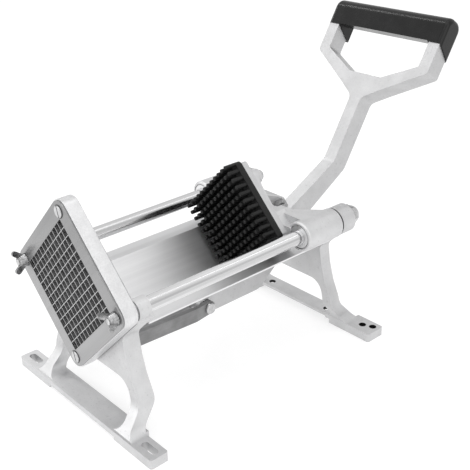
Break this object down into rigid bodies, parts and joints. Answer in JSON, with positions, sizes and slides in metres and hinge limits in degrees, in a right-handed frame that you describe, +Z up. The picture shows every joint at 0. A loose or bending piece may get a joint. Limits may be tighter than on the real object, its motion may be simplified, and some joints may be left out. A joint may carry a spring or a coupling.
{
  "type": "french fry cutter",
  "caption": "Bench-mounted lever press that pushes a potato along a V chute through a square grid of blades to cut it into fries.",
  "frame": {"origin": "on the bench, midway between the two front foot slots", "axes": "+X across the tool, +Y from the blades to the handle, +Z up"},
  "size_m": [0.185, 0.3893, 0.2605],
  "materials": {
    "cast_aluminium": "fine sand-cast, satin",
    "brushed_stainless": "brushed",
    "polished_stainless": "polished",
    "dark_steel": "dark phosphated flat bar",
    "zinc_fasteners": "bright zinc",
    "sintered_sleeve": "sintered metal",
    "black_plastic": "satin moulded",
    "black_grip": "satin moulded"
  },
  "bodies": {
    "root": {"front_plate": "cast_aluminium", "front_casting": "cast_aluminium", "rear_casting": "cast_aluminium", "guide_rod_left": "polished_stainless", "guide_rod_right": "polished_stainless", "rod_nuts": "zinc_fasteners", "chute_plate_left": "polished_stainless", "chute_plate_right": "polished_stainless", "chute_screws": "zinc_fasteners", "blade_ring": "brushed_stainless", "blade_frame": "brushed_stainless", "blades_front": "polished_stainless", "blades_rear": "polished_stainless", "ring_screws": "zinc_fasteners", "anchor_pin": "zinc_fasteners", "anchor_washers": "zinc_fasteners"},
    "carriage": {"carriage_casting": "cast_aluminium", "bushings": "sintered_sleeve", "backing_plate": "cast_aluminium", "pusher_block": "black_plastic", "pusher_screws": "zinc_fasteners", "lever_bolt": "zinc_fasteners", "lever_nut": "zinc_fasteners"},
    "lever": {"lever_casting": "cast_aluminium", "grip": "black_grip", "link_pin": "zinc_fasteners", "link_pin_washers": "zinc_fasteners"},
    "links": {"link_left": "dark_steel", "link_right": "dark_steel", "link_rivets": "zinc_fasteners"},
    "wing_left": {"wing_nut_left": "zinc_fasteners"},
    "wing_right": {"wing_nut_right": "zinc_fasteners"}
  },
  "joints": [
    {"name": "carriage_slide", "type": "slide", "parent": "root", "child": "carriage", "axis": [0, -1, 0], "range_m": [0, 0.148]},
    {"name": "lever_swing", "type": "hinge", "parent": "carriage", "child": "lever", "pos_m": [0, 0.2, 0.117], "axis": [1, 0, 0], "range_deg": [0, 87.16]},
    {"name": "link_swing", "type": "hinge", "parent": "root", "child": "links", "pos_m": [0, 0.029, 0.0525], "axis": [1, 0, 0], "range_deg": [-9.84, 0]},
    {"name": "wing_turn_left", "type": "hinge", "parent": "root", "child": "wing_left", "pos_m": [-0.061, -0.008, 0.113], "axis": [0, -1, 0], "continuous": true},
    {"name": "wing_turn_right", "type": "hinge", "parent": "root", "child": "wing_right", "pos_m": [0.061, -0.008, 0.113], "axis": [0, -1, 0], "continuous": true}
  ],
  "couplings": [
    {"joint": "lever_swing", "follows": "carriage_slide", "rad_per_m": 10.279},
    {"joint": "link_swing", "follows": "carriage_slide", "rad_per_m": -1.1605}
  ]
}
